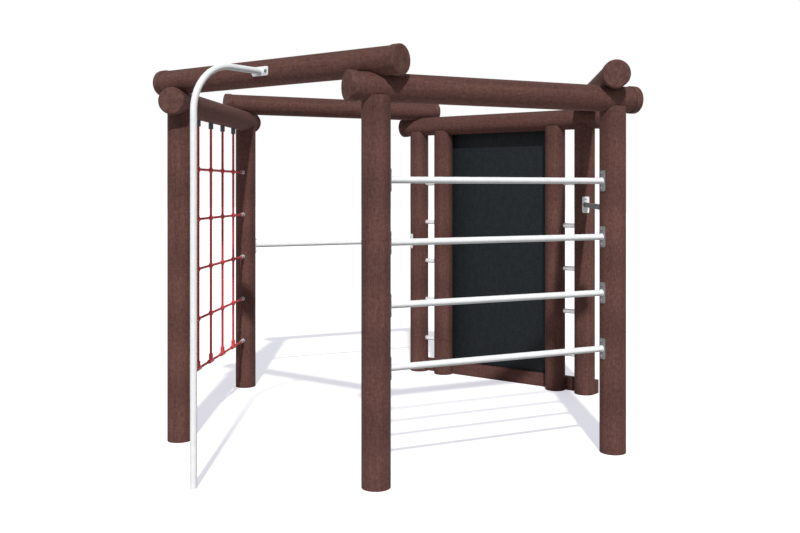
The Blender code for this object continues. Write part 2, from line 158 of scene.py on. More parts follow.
# Noises with a grain: shares of their scale along it and across it, scale, detail and roughness
FIBRES = ((0.10, 1.0), 130.0, 6.0, 0.7)
STREAKS = ((0.05, 1.0), 22.0, 3.0, 0.55)
PATCHES = ((0.6, 1.0), 70.0, 7.0, 0.8)
FLECKS = ((1.0, 0.25), 70.0, 4.0, 0.7)
BOARD_GRAIN = ((0.7, 1.0), 110.0, 7.0, 0.8)
BOARD_CLOUDS = ((0.45, 1.0), 34.0, 5.0, 0.7)

# Other noises: scale, detail and, where it isn't the usual one, roughness
CAP_MOTTLE = (26.0, 7.0, 0.72)
CAP_GRAIN = (240.0, 4.0, 0.6)
RING_NOISE = (22.0, 3.0)
ZINC_CLOUDS = (14.0, 5.0)
ZINC_GRAIN = (400.0, 3.0)
ROPE_FUZZ = (900.0, 3.0)
ROPE_WEAR = (12.0, 3.0)
PLASTIC_SCUFFS = (45.0, 6.0, 0.7)
PLASTIC_GRAIN = (700.0, 3.0)
SPANGLE_SCALE = 110.0

# Tones by their place on a noise
TIMBER_TONES = [(0.34, (0.078, 0.031, 0.025)), (0.46, (0.108, 0.046, 0.038)),
                (0.56, (0.124, 0.057, 0.048)), (0.70, (0.160, 0.082, 0.072))]
END_GRAIN_TONES = [(0.3, (0.085, 0.038, 0.032)), (0.7, (0.150, 0.070, 0.056))]
CAP_TONES = [(0.34, (0.078, 0.033, 0.028)), (0.48, (0.104, 0.046, 0.038)),
             (0.66, (0.150, 0.074, 0.062))]
BOARD_TONES = [(0.36, (0.0045, 0.0066, 0.0082)), (0.50, (0.0085, 0.0118, 0.0138)),
               (0.66, (0.0200, 0.0252, 0.0280))]
ROPE_TONES = [(0.3, (0.60, 0.024, 0.034)), (0.7, (0.76, 0.046, 0.058))]
ZINC_TONES = [(0.35, (0.87, 0.88, 0.89)), (0.65, (0.94, 0.945, 0.95))]
# Zinc darkened as a painted shade, for pieces that stand in shade
PAINTED_SHADE_ZINC_TONES = [(0.35, (0.19, 0.195, 0.20)), (0.65, (0.26, 0.265, 0.27))]
# Paler zinc of the rungs, a painted light that keeps them white in shade
PAINTED_LIGHT_ZINC_TONES = [(0.35, (0.94, 0.94, 0.94)), (0.65, (0.98, 0.98, 0.98))]
# Darker zinc of the rope sockets, a painted shade
PAINTED_SHADE_SOCKET_TONES = [(0.35, (0.52, 0.525, 0.53)), (0.65, (0.62, 0.625, 0.63))]
RED_PLASTIC_TONES = [(0.35, (0.60, 0.030, 0.036)), (0.7, (0.76, 0.052, 0.058))]
GREY_PLASTIC_TONES = [(0.35, (0.038, 0.041, 0.043)), (0.7, (0.056, 0.059, 0.062))]

# Span that holds most values of a noise
NOISE_SPAN = (0.3, 0.7)

# Shades: the span of what they follow, and the shares of its colour that a surface keeps there
FIBRE_SHADES = (NOISE_SPAN, (0.86, 1.14))
STREAK_SHADES = (NOISE_SPAN, (0.84, 1.14))
DARK_FLECK_SHADES = ((0.32, 0.48), (0.83, 1.0))
PALE_FLECK_SHADES = ((0.48, 0.68), (1.03, 1.09))
# Timber darker where it faces up: a painted shade
PAINTED_TOP_SHADES = ((0.30, 0.95), (1.0, 0.74))
RING_SHADES = ((-1.0, 1.0), (0.84, 1.08))
CRACK_SHADES = ((0.30, 0.36), (0.5, 1.0))
CAP_SHADES = (NOISE_SPAN, (0.82, 1.18))
SPANGLE_SHADES = ((0.2, 0.8), (0.97, 1.02))
BOARD_SHADES = (NOISE_SPAN, (0.65, 1.30))
YARN_SHADES = ((0.0, 0.6), (0.78, 1.04))
FUZZ_SHADES = (NOISE_SPAN, (0.9, 1.1))

# Roughness: the span of what it follows, and its values there
TIMBER_ROUGHNESS = (NOISE_SPAN, (0.88, 0.74))
CAP_ROUGHNESS = (NOISE_SPAN, (0.84, 0.68))
BOARD_ROUGHNESS = (NOISE_SPAN, (0.75, 0.58))
ROPE_ROUGHNESS = (NOISE_SPAN, (0.85, 0.65))
SCUFF_SPAN = (0.35, 0.75)
RED_ROUGHNESS = 0.42
GREY_ROUGHNESS = 0.45
SCUFF_ROUGHNESS = 0.15

# Share of one noise that is added to another in the height of a bump
FLECK_HEIGHT = 0.7
MOTTLE_HEIGHT = 2.0
FUZZ_HEIGHT = 0.5
SCUFF_HEIGHT = 0.6

# Bumps: strength and depth
TIMBER_BUMP = (0.5, 0.0015)
CAP_BUMP = (0.5, 0.0012)
BOARD_BUMP = (0.5, 0.0012)
ZINC_BUMP = (0.12, 0.0004)
ROPE_BUMP = (0.5, 0.0005)
PLASTIC_BUMP = (0.2, 0.0004)

# Levels that are the same all over a surface
MATT_SPECULAR = 0.2
ZINC_SPECULAR = 0.25
ROPE_SHEEN = 0.1

# Broad bands of stain along a post: their pitch, the place of a pale one, its change and its wander
BAND_PITCH = 0.48
PALE_BAND = 0.13
BAND_DEPTH = 0.11
BAND_WANDER = 0.10

# Cut ends of timber: growth rings in radians to a metre, their wobble, and the cracks across them
END_FACING = 0.9
RING_RATE = 1150.0
RING_WOBBLE = 0.018
CRACK_NOISE = {"Scale": 5.5, "Detail": 3.0, "Roughness": 0.8}

# Zinc: its metallic share and roughness, and the share of its colour that a tube keeps underneath as
# painted shade
ZINC_METALLIC = 0.05
RUNG_METALLIC = 0.5
ZINC_ROUGHNESS = 0.50
RUNG_ROUGHNESS = 0.45
ROUGHNESS_SPREAD = 0.08
PAINTED_UNDERSIDE_SPAN = (-0.45, -0.05)
PAINTED_UNDERSIDE_SHADE = 0.62

# Yarn: the angle at which it winds round a strand, and its wave
YARN_SLANT = radians(52)
YARN_WAVE = {"Scale": 1.6, "Distortion": 0.6, "Detail": 2.0}

# Steps by which a seed moves a noise, and the first seed of each kind of piece
GRAIN_STEP = (1.7, -2.3, 0.9)
MOTTLE_STEP = (2.1, 1.3, -0.7)
POST_SEED = 0
LOWER_BEAM_SEED = 10
UPPER_BEAM_SEED = 14
RAIL_SEED = 20
LOWER_CAP_SEED = 30
UPPER_CAP_SEED = 34


# Places read from the frame

def numbered(name, count):
    """Names of the pieces of a row, numbered from 1."""
    return [name + str(number) for number in range(1, count + 1)]


def node_middle(node):
    low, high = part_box(node)
    return (low + high) / 2


def node_size(node):
    low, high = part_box(node)
    return high - low


def post_place(node):
    middle = node_middle(node)
    return Vector((middle.x, middle.y, 0))


POSTS = {letter: post_place("corner_post_" + letter) for letter in "abcdef"}
POST_RADIUS = node_size("corner_post_c").x / 2
POST_HEIGHT = node_size("corner_post_c").z
POST_SPACING = (POSTS["b"] - POSTS["a"]).length
BEAM_RADIUS = node_size("lower_beam_de").z / 2 - CAP_WALL
BEAM_LENGTH = node_size("lower_beam_de").x
LOWER_BEAM_HEIGHT = node_middle("lower_beam_de").z
UPPER_BEAM_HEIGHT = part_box("upper_beam_ab")[1].z - BEAM_RADIUS - CAP_WALL
TUBE_RADIUS = node_size("rung_d_1").z / 2
FLANGE_HEIGHT = node_size("high_bar").z
ROPE_BORE = ROPE_RADIUS + GAP
POST_BEAMS = {"a": "fa", "b": "bc", "c": "bc", "d": "de", "e": "de", "f": "fa"}
UPPER_BEAMS = {"ab": ("fa", "bc"), "cd": ("bc", "de"), "ef": ("de", "fa")}


def side_matrix(side, height=0.0):
    """Frame of a side: X along it, Y into the hexagon, its origin at its middle."""
    start, end = (POSTS[letter] for letter in side)
    run = end - start
    middle = (start + end) / 2
    place = Matrix.Translation((middle.x, middle.y, height))
    return place @ Matrix.Rotation(atan2(run.y, run.x), 4, "Z")


# Mesh helpers

def full_turn(steps):
    """Angles round a circle."""
    return [2 * pi * step / steps for step in range(steps)]


def quarter_turn(steps):
    """Angles from 0 to a right angle, both with them."""
    return [pi / 2 * step / steps for step in range(steps + 1)]


def ring_on_z(height, radius, flare=0.0):
    """Ring square to Z; a flare widens it along X."""
    across = Vector((1 + flare / radius, 0, 0))
    return Vector((0, 0, height)), across, Vector((0, 1, 0)), radius


def ring_on_x(place, radius):
    return Vector((place, 0, 0)), Vector((0, 1, 0)), Vector((0, 0, 1)), radius


def loft(bm, rings, sides, endless=False):
    """Round body through rings of centre, two axes and radius; endless joins last to first."""
    loops = []
    for centre, across, along, radius in rings:
        points = [centre + radius * (cos(t) * across + sin(t) * along) for t in full_turn(sides)]
        loops.append([bm.verts.new(point) for point in points])
    pairs = list(zip(loops, loops[1:]))
    if endless:
        pairs.append((loops[-1], loops[0]))
    else:
        bm.faces.new(loops[0])
        bm.faces.new(loops[-1])
    for low, high in pairs:
        for step in range(sides):
            after = (step + 1) % sides
            bm.faces.new((low[step], low[after], high[after], high[step]))


def shaded(mesh):
    """Mesh that is smooth but for its sharp edges."""
    mesh.shade_smooth()
    mesh.set_sharp_from_angle(angle=SHARP_ANGLE)
    return mesh


def finished(bm, name):
    bmesh.ops.recalc_face_normals(bm, faces=bm.faces)
    mesh = bpy.data.meshes.new(name)
    bm.to_mesh(mesh)
    bm.free()
    return shaded(mesh)


def lofted(name, rings, sides, endless=False):
    bm = bmesh.new()
    loft(bm, rings, sides, endless)
    return finished(bm, name)


def box_mesh(name, low, high, arris=0.0):
    """Box between two corners; an arris rounds its edges."""
    bm = bmesh.new()
    size = [b - a for a, b in zip(low, high)]
    middle = [(a + b) / 2 for a, b in zip(low, high)]
    place = Matrix.Translation(middle) @ Matrix.Diagonal((*size, 1))
    bmesh.ops.create_cube(bm, size=1, matrix=place)
    if arris:
        bmesh.ops.bevel(bm, geom=list(bm.edges), offset=arris, segments=BEVEL_SEGMENTS,
                        profile=0.5, affect="EDGES")
    return finished(bm, name)


def moved(mesh, matrix):
    copy = mesh.copy()
    copy.transform(matrix)
    return copy


def combined(name, meshes):
    """One mesh that holds several closed ones."""
    bm = bmesh.new()
    for mesh in meshes:
        bm.from_mesh(mesh)
    result = bpy.data.meshes.new(name)
    bm.to_mesh(result)
    bm.free()
    return shaded(result)


def evaluated(name, mesh, add_modifiers):
    """Mesh that comes out of the modifiers which a function adds to it."""
    body = bpy.data.objects.new(name, mesh)
    bpy.context.collection.objects.link(body)
    tools = add_modifiers(body)
    depsgraph = bpy.context.evaluated_depsgraph_get()
    result = bpy.data.meshes.new_from_object(body.evaluated_get(depsgraph))
    for thing in tools + [body]:
        bpy.data.objects.remove(thing)
    result.name = name
    return result


def cut(name, base, cutters):
    """Mesh of a base after other meshes are cut out of it."""
    def add_cuts(body):
        tools = []
        for mesh in cutters:
            tool = bpy.data.objects.new(name + "_tool", mesh)
            bpy.context.collection.objects.link(tool)
            modifier = body.modifiers.new("cut", "BOOLEAN")
            modifier.operation = "DIFFERENCE"
            modifier.solver = "EXACT"
            modifier.object = tool
            tools.append(tool)
        return tools
    return shaded(evaluated(name, base, add_cuts))


def moulded(name, meshes):
    """One smooth moulded body from several that overlap."""
    def add_remesh(body):
        remesh = body.modifiers.new("remesh", "REMESH")
        remesh.mode = "VOXEL"
        remesh.voxel_size = MOULD_VOXEL
        smooth = body.modifiers.new("smooth", "SMOOTH")
        smooth.iterations = MOULD_SMOOTHING
        return []
    return evaluated(name, combined(name, meshes), add_remesh)


def piece(name, mesh, material, matrix, slot, node=None):
    """Piece of the object at its place; it stands for a CAD node where one is named."""
    thing = bpy.data.objects.new(name, mesh)
    thing.matrix_world = matrix
    bpy.context.collection.objects.link(thing)
    if not mesh.materials:
        mesh.materials.append(None)
    thing.material_slots[0].link = "OBJECT"
    thing.material_slots[0].material = material
    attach(thing, "root")
    if node:
        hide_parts(node)
    return thing


def stand_in(node, mesh, material, matrix, slot):
    """Finer piece in the place of a CAD node."""
    return piece(node + "_fine", mesh, material, matrix, slot, node)


# Material helpers

SOCKETS = {"metallic": "Metallic", "specular": "Specular IOR Level", "sheen": "Sheen Weight"}

# Sockets of a mix of two colours: its factor, the two, and what comes out
MIX_INPUTS = (0, 6, 7)
MIX_OUTPUT = 2


def new_material(name):
    material = bpy.data.materials.new(name)
    material.use_nodes = True
    tree = material.node_tree
    return material, tree, tree.nodes["Principled BSDF"]


def fill(tree, node, inputs):
    """Give sockets of a node their numbers or colours, or link them to the outputs of others."""
    for socket, value in inputs:
        if isinstance(value, bpy.types.NodeSocket):
            tree.links.new(value, node.inputs[socket])
        else:
            node.inputs[socket].default_value = value


def add(tree, kind, inputs, **settings):
    """New node with its settings and inputs."""
    node = tree.nodes.new("ShaderNode" + kind)
    for key, value in settings.items():
        setattr(node, key, value)
    fill(tree, node, inputs.items())
    return node


def object_place(tree, scale=(1, 1, 1), shift=(0, 0, 0)):
    """Object coordinates, scaled and moved."""
    source = add(tree, "TexCoord", {}).outputs["Object"]
    return add(tree, "Mapping", {"Vector": source, "Scale": scale, "Location": shift}).outputs[0]


def noise(tree, vector, scale, detail=4.0, roughness=0.55):
    inputs = {"Vector": vector, "Scale": scale, "Detail": detail, "Roughness": roughness}
    return add(tree, "TexNoise", inputs).outputs[0]


def ramp(tree, factor, stops):
    """Colour by a factor, from stops of place and colour."""
    node = add(tree, "ValToRGB", {"Fac": factor})
    elements = node.color_ramp.elements
    while len(elements) < len(stops):
        elements.new(0.5)
    for element, (place, colour) in zip(elements, stops):
        element.position = place
        element.color = (*colour, 1)
    return node.outputs[0]


def ranged(tree, factor, span, result):
    """Number that follows a factor from one span into another."""
    inputs = {"Value": factor, "From Min": span[0], "From Max": span[1],
              "To Min": result[0], "To Max": result[1]}
    return add(tree, "MapRange", inputs).outputs[0]


def mixed(tree, factor, first, second, blend="MIX"):
    node = tree.nodes.new("ShaderNodeMix")
    node.data_type = "RGBA"
    node.blend_type = blend
    fill(tree, node, zip(MIX_INPUTS, (factor, first, second)))
    return node.outputs[MIX_OUTPUT]


def shaded_by(tree, colour, factor, shades):
    """Colour made darker or lighter by a factor."""
    return mixed(tree, 1.0, colour, ranged(tree, factor, *shades), "MULTIPLY")


def maths(tree, operation, *values):
    return add(tree, "Math", dict(enumerate(values)), operation=operation).outputs[0]


def dress(tree, shader, colour, roughness, bump, **levels):
    """Colour, roughness and bump of a shader, and the levels that are the same all over it."""
    height, (strength, distance) = bump
    inputs = {"Height": height, "Strength": strength, "Distance": distance}
    tree.links.new(colour, shader.inputs["Base Color"])
    tree.links.new(roughness, shader.inputs["Roughness"])
    tree.links.new(add(tree, "Bump", inputs).outputs[0], shader.inputs["Normal"])
    for socket, level in levels.items():
        shader.inputs[SOCKETS[socket]].default_value = level


# Materials

def on_axis(axis, along, across=1.0):
    """Scale with one value along an axis and another across it."""
    return [along if number == axis else across for number in range(3)]


def grain_noise(tree, axis, kind, shift=(0, 0, 0)):
    """Noise that is drawn out along the grain."""
    shares, scale, detail, roughness = kind
    place = object_place(tree, on_axis(axis, *shares), shift)
    return noise(tree, place, scale, detail, roughness)


def stained_timber(name, seed, axis, band_depth=0.0):
    """Brown stained wood whose grain runs along one axis of the object, darker on its tops by a
    painted shade.
    """
    material, tree, shader = new_material(name)
    shift = [seed * step for step in GRAIN_STEP]
    fibres, streaks, patches, flecks = [grain_noise(tree, axis, kind, shift)
                                        for kind in (FIBRES, STREAKS, PATCHES, FLECKS)]
    band_shades = ((-1.0, 1.0), (1 - band_depth, 1 + band_depth))
    colour = ramp(tree, patches, TIMBER_TONES)
    # The shade that follows upward() is a painted shade on the tops
    for factor, shades in ((fibres, FIBRE_SHADES), (streaks, STREAK_SHADES),
                           (flecks, DARK_FLECK_SHADES), (flecks, PALE_FLECK_SHADES),
                           (upward(tree), PAINTED_TOP_SHADES),
                           (stain_bands(tree, axis, streaks), band_shades)):
        colour = shaded_by(tree, colour, factor, shades)
    colour = mixed(tree, facing_axis(tree, axis), colour, end_grain(tree, axis, patches))
    roughness = ranged(tree, patches, *TIMBER_ROUGHNESS)
    height = maths(tree, "MULTIPLY_ADD", flecks, FLECK_HEIGHT, fibres)
    dress(tree, shader, colour, roughness, (height, TIMBER_BUMP), specular=MATT_SPECULAR)
    return material


def stain_bands(tree, axis, wander):
    """Wave from -1 to 1 along an axis, whose crests wander a little."""
    place = add(tree, "SeparateXYZ", {"Vector": object_place(tree)}).outputs[axis]
    place = maths(tree, "MULTIPLY_ADD", wander, BAND_WANDER, place)
    crest = PALE_BAND + BAND_WANDER / 2
    turns = maths(tree, "MULTIPLY_ADD", place, 2 * pi / BAND_PITCH, -2 * pi * crest / BAND_PITCH)
    return maths(tree, "COSINE", turns)


def normal_part(tree, axis):
    """Part of the object's own normal along one of its axes."""
    normal = add(tree, "TexCoord", {}).outputs["Normal"]
    return add(tree, "SeparateXYZ", {"Vector": normal}).outputs[axis]


def upward(tree):
    """From -1 on the undersides to 1 on the tops, of pieces that are only turned about Z."""
    return normal_part(tree, Z_AXIS)


def facing_axis(tree, axis):
    """1 on the faces that are square to an axis."""
    part = maths(tree, "ABSOLUTE", normal_part(tree, axis))
    return maths(tree, "GREATER_THAN", part, END_FACING)


def end_grain(tree, axis, patches):
    """Growth rings round the middle of a log, crossed by fine cracks from its middle."""
    across = object_place(tree, on_axis(axis, 0.0))
    wobble = maths(tree, "MULTIPLY", noise(tree, across, *RING_NOISE), RING_WOBBLE)
    distance = add(tree, "VectorMath", {0: across}, operation="LENGTH").outputs["Value"]
    turns = maths(tree, "MULTIPLY", maths(tree, "ADD", distance, wobble), RING_RATE)
    parts = add(tree, "SeparateXYZ", {"Vector": across})
    first, second = [parts.outputs[number] for number in range(3) if number != axis]
    around = {"W": maths(tree, "ARCTAN2", first, second)}
    cracks = add(tree, "TexNoise", around | CRACK_NOISE, noise_dimensions="1D").outputs[0]
    colour = ramp(tree, patches, END_GRAIN_TONES)
    colour = shaded_by(tree, colour, maths(tree, "SINE", turns), RING_SHADES)
    return shaded_by(tree, colour, cracks, CRACK_SHADES)


def cap_paint(name, seed):
    """Brown end cap with a mottle that follows no grain."""
    material, tree, shader = new_material(name)
    place = object_place(tree, shift=[seed * step for step in MOTTLE_STEP])
    mottle = noise(tree, place, *CAP_MOTTLE)
    fine = noise(tree, place, *CAP_GRAIN)
    colour = shaded_by(tree, ramp(tree, mottle, CAP_TONES), fine, CAP_SHADES)
    roughness = ranged(tree, mottle, *CAP_ROUGHNESS)
    height = maths(tree, "MULTIPLY_ADD", mottle, MOTTLE_HEIGHT, fine)
    dress(tree, shader, colour, roughness, (height, CAP_BUMP), specular=MATT_SPECULAR)
    return material


def galvanised(name, tones, metallic=ZINC_METALLIC, roughness=ZINC_ROUGHNESS, underside=1.0):
    """Hot-dip zinc with a faint spangle, which a painted shade can darken on its underside."""
    material, tree, shader = new_material(name)
    place = object_place(tree)
    spangle = add(tree, "TexVoronoi", {"Vector": place, "Scale": SPANGLE_SCALE})
    grey = add(tree, "RGBToBW", {"Color": spangle.outputs["Color"]}).outputs[0]
    colour = ramp(tree, noise(tree, place, *ZINC_CLOUDS), tones)
    colour = shaded_by(tree, colour, grey, SPANGLE_SHADES)
    # Painted shade on the underside
    colour = shaded_by(tree, colour, upward(tree), (PAINTED_UNDERSIDE_SPAN, (underside, 1.0)))
    dulled = ranged(tree, grey, SPANGLE_SHADES[0], (roughness + ROUGHNESS_SPREAD, roughness))
    height = maths(tree, "ADD", grey, noise(tree, place, *ZINC_GRAIN))
    dress(tree, shader, colour, dulled, (height, ZINC_BUMP), metallic=metallic,
          specular=ZINC_SPECULAR)
    return material


def wall_board(name):
    """Near black board with a faint mottled grain."""
    material, tree, shader = new_material(name)
    fine = grain_noise(tree, Z_AXIS, BOARD_GRAIN)
    coarse = grain_noise(tree, Z_AXIS, BOARD_CLOUDS)
    colour = shaded_by(tree, ramp(tree, fine, BOARD_TONES), coarse, BOARD_SHADES)
    roughness = ranged(tree, fine, *BOARD_ROUGHNESS)
    dress(tree, shader, colour, roughness, (fine, BOARD_BUMP), specular=MATT_SPECULAR)
    return material


def laid_rope(name):
    """Red yarn that winds round each strand, by the UV map of the rope's lay."""
    material, tree, shader = new_material(name)
    lay = add(tree, "UVMap", {}, uv_map="lay").outputs[0]
    slanted = add(tree, "Mapping", {"Vector": lay, "Rotation": (0, 0, YARN_SLANT)}).outputs[0]
    yarn = add(tree, "TexWave", {"Vector": slanted} | YARN_WAVE).outputs["Fac"]
    place = object_place(tree)
    fuzz = noise(tree, place, *ROPE_FUZZ)
    colour = ramp(tree, noise(tree, place, *ROPE_WEAR), ROPE_TONES)
    colour = shaded_by(tree, colour, yarn, YARN_SHADES)
    colour = shaded_by(tree, colour, fuzz, FUZZ_SHADES)
    roughness = ranged(tree, fuzz, *ROPE_ROUGHNESS)
    height = maths(tree, "MULTIPLY_ADD", fuzz, FUZZ_HEIGHT, yarn)
    dress(tree, shader, colour, roughness, (height, ROPE_BUMP), sheen=ROPE_SHEEN)
    return material


def moulded_plastic(name, tones, roughness):
    """Moulded plastic with a fine grain and slight scuffs."""
    material, tree, shader = new_material(name)
    place = object_place(tree)
    scuffs = noise(tree, place, *PLASTIC_SCUFFS)
    dulled = ranged(tree, scuffs, SCUFF_SPAN, (roughness, roughness + SCUFF_ROUGHNESS))
    grain = noise(tree, place, *PLASTIC_GRAIN)
    height = maths(tree, "MULTIPLY_ADD", scuffs, SCUFF_HEIGHT, grain)
    dress(tree, shader, ramp(tree, scuffs, tones), dulled, (height, PLASTIC_BUMP))
    return material


# Camera, floor and light

def make_camera():
    camera = bpy.data.objects.new("camera", bpy.data.cameras.new("camera"))
    bpy.context.collection.objects.link(camera)
    camera.location = CAMERA_PLACE
    camera.rotation_euler = (radians(90), 0, radians(CAMERA_HEADING))
    camera.data.lens = CAMERA_LENS
    camera.data.sensor_width = CAMERA_SENSOR
    camera.data.shift_x, camera.data.shift_y = CAMERA_SHIFT
    bpy.context.scene.camera = camera


def seen_factor(tree):
    """1 for what is seen directly, in a reflection or through glass."""
    path = add(tree, "LightPath", {})
    seen = maths(tree, "MAXIMUM", path.outputs["Is Camera Ray"], path.outputs["Is Glossy Ray"])
    return maths(tree, "MAXIMUM", seen, path.outputs["Is Transmission Ray"])


def make_floor():
    """White floor that keeps the shadow of the object."""
    half = FLOOR_SIZE / 2
    mesh = box_mesh("floor", (-half, -half, -FLOOR_THICKNESS), (half, half, 0))
    floor = bpy.data.objects.new("floor", mesh)
    bpy.context.collection.objects.link(floor)
    material = bpy.data.materials.new("floor")
    material.use_nodes = True
    tree = material.node_tree
    tree.nodes.clear()
    plain = add(tree, "BsdfDiffuse", {"Color": (*FLOOR_COLOUR, 1)})
    shade = add(tree, "BsdfDiffuse", {"Color": (*FLOOR_SHADE, 1)})
    glow = add(tree, "Emission", {"Color": (*FLOOR_GLOW, 1), "Strength": 1.0})
    seen = add(tree, "AddShader", {0: shade.outputs[0], 1: glow.outputs[0]})
    both = add(tree, "MixShader", {0: seen_factor(tree), 1: plain.outputs[0], 2: seen.outputs[0]})
    add(tree, "OutputMaterial", {"Surface": both.outputs[0]})
    mesh.materials.append(material)


def make_light():
    sun = bpy.data.objects.new("sun", bpy.data.lights.new("sun", "SUN"))
    bpy.context.collection.objects.link(sun)
    sun.rotation_euler = (radians(90 - SUN_ELEVATION), 0, radians(SUN_HEADING))
    sun.data.energy = SUN_STRENGTH
    sun.data.angle = radians(SUN_ANGLE)
    world = bpy.data.worlds.new("sky")
    bpy.context.scene.world = world
    world.use_nodes = True
    tree = world.node_tree
    tree.nodes.clear()
    sky = add(tree, "Background", {"Color": (*SKY_COLOUR, 1), "Strength": SKY_STRENGTH})
    white = add(tree, "Background", {"Color": (1, 1, 1, 1), "Strength": 1.0})
    both = add(tree, "MixShader", {0: seen_factor(tree), 1: sky.outputs[0], 2: white.outputs[0]})
    add(tree, "OutputWorld", {"Surface": both.outputs[0]})
    bpy.context.scene.view_settings.view_transform = "Standard"


# Logs

def log_profile(low, high, radius, arris):
    """Places and radii along a log; an arris rounds its high end."""
    end = high - arris
    count = round((end - low) / LOG_RING_STEP)
    profile = [(low + (end - low) * step / count, radius) for step in range(count + 1)]
    rounded = [(end + arris * sin(t), radius - arris * (1 - cos(t)))
               for t in quarter_turn(ARRIS_STEPS)[1:]]
    return profile + rounded if arris else profile


def beam_cutter():
    reach = BEAM_LENGTH / 2 + CUTTER_EXCESS
    rings = [ring_on_x(x, BEAM_RADIUS + GAP) for x in (-reach, reach)]
    return lofted("beam_cutter", rings, LOG_SIDES)


def cutter_at(mesh, cutter_place, body_place):
    """Cutter moved from its own place into the frame of the body that it cuts."""
    return moved(mesh, body_place.inverted() @ cutter_place)


def cap_mesh():
    """Cap over the end of a beam, open towards -X and rounded at its outer edge."""
    half = BEAM_LENGTH / 2
    outer = BEAM_RADIUS + CAP_WALL
    inner = BEAM_RADIUS + GAP
    rim = half - CAP_LENGTH
    profile = [(half - CAP_WALL + GAP, inner), (rim, inner), (rim, outer - CAP_RIM)]
    profile += [(rim + CAP_RIM * (1 - cos(t)), outer - CAP_RIM * (1 - sin(t)))
                for t in quarter_turn(CAP_RIM_STEPS)[1:]]
    profile += [(half - CAP_ROUND * (1 - sin(t)), outer - CAP_ROUND * (1 - cos(t)))
                for t in quarter_turn(CAP_ROUND_STEPS)]
    return lofted("cap", [ring_on_x(x, radius) for x, radius in profile], LOG_SIDES)


def make_beams(cutter):
    """Lower beams in the posts' saddles, and upper ones notched over them, with a cap at each end."""
    half = BEAM_LENGTH / 2 - CAP_WALL
    profile = log_profile(-half, half, BEAM_RADIUS, 0)
    beam = lofted("beam", [ring_on_x(x, radius) for x, radius in profile], LOG_SIDES)
    for number, side in enumerate(("bc", "de", "fa")):
        timber = stained_timber("timber_beam_" + side, LOWER_BEAM_SEED + number, X_AXIS)
        place = side_matrix(side, LOWER_BEAM_HEIGHT)
        stand_in("lower_beam_" + side, beam, timber, place, "log_timber")
        make_caps("lower_beam_" + side, place, LOWER_CAP_SEED + number)
    for number, (side, lower) in enumerate(UPPER_BEAMS.items()):
        place = side_matrix(side, UPPER_BEAM_HEIGHT)
        tools = [cutter_at(cutter, side_matrix(name, LOWER_BEAM_HEIGHT), place) for name in lower]
        timber = stained_timber("timber_beam_" + side, UPPER_BEAM_SEED + number, X_AXIS)
        stand_in("upper_beam_" + side, cut("beam_" + side, beam, tools), timber, place, "log_timber")
        make_caps("upper_beam_" + side, place, UPPER_CAP_SEED + number)


def make_caps(beam, place, seed):
    mesh = cap_mesh()
    material = cap_paint("paint_" + beam, seed)
    for end, turn in (("start", pi), ("end", 0)):
        where = place @ Matrix.Rotation(turn, 4, "Z")
        piece(beam + "_cap_" + end, mesh, material, where, "log_timber")


def grown_box(node, excess):
    """Cutter round a board: its box with clearance, and past it by an excess at each corner."""
    low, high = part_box(node)
    grow = Vector((GAP, GAP, GAP))
    below, above = [Vector(part) for part in excess]
    return box_mesh(node + "_cutter", low - grow - below, high + grow + above)


def rung_seats(letter):
    """Cutters of the seats of the rungs next to a corner post, in the frame of the whole."""
    seats = []
    for node in numbered("rung_" + letter + "_", RUNGS):
        reach = node_size(node).x / 2 + GAP
        rings = [ring_on_x(x, TUBE_RADIUS + GAP) for x in (-reach, reach)]
        seat = lofted("seat", rings, TUBE_SIDES)
        seats.append(moved(seat, Matrix.Translation(node_middle(node))))
    return combined("seats_" + letter, seats)


def post_plans():
    """Node, foot, beam and further cutters of each post."""
    back = CUTTER_EXCESS + POST_RADIUS
    notch = grown_box("bottom_rail", ((CUTTER_EXCESS, 0, CUTTER_EXCESS), (CUTTER_EXCESS, back, 0)))
    rebate = grown_box("wall_panel", ((0, 0, CUTTER_EXCESS), (0, back, POST_RADIUS * 2)))
    seats = {letter: rung_seats(letter) for letter in "de"}
    plans = []
    for letter, beam in POST_BEAMS.items():
        cutters = [seats[letter], notch] if beam == "de" else []
        plans.append(("corner_post_" + letter, POSTS[letter], beam, cutters))
    for letter, rungs in (("g", "e"), ("h", "d")):
        node = "wall_post_" + letter
        foot = Vector((node_middle(node).x, POSTS["d"].y, 0))
        plans.append((node, foot, "de", [seats[rungs], notch, rebate]))
    return plans


def make_posts(cutter):
    profile = log_profile(0, POST_HEIGHT, POST_RADIUS, POST_ARRIS)
    post = lofted("post", [ring_on_z(z, radius) for z, radius in profile], LOG_SIDES)
    whole = Matrix.Identity(4)
    for seed, (node, foot, beam, cutters) in enumerate(post_plans(), POST_SEED):
        name = "post_" + node[-1]
        place = Matrix.Translation(foot)
        tools = [cutter_at(cutter, side_matrix(beam, LOWER_BEAM_HEIGHT), place)]
        tools += [cutter_at(tool, whole, place) for tool in cutters]
        timber = stained_timber("timber_" + name, seed, Z_AXIS, BAND_DEPTH)
        stand_in(node, cut(name, post, tools), timber, place, "log_timber")


def make_boards():
    """Sawn rail and dark panel between the wall posts."""
    timber = stained_timber("timber_rail", RAIL_SEED, X_AXIS)
    for node, arris, material, slot in (
            ("bottom_rail", PLANK_ARRIS, timber, "rail_timber"),
            ("wall_panel", BOARD_ARRIS, wall_board("board"), "wall_board")):
        half = node_size(node) / 2
        mesh = box_mesh(node + "_board", -half, half, arris)
        stand_in(node, mesh, material, Matrix.Translation(node_middle(node)), slot)


# Galvanised bars, rungs and pole

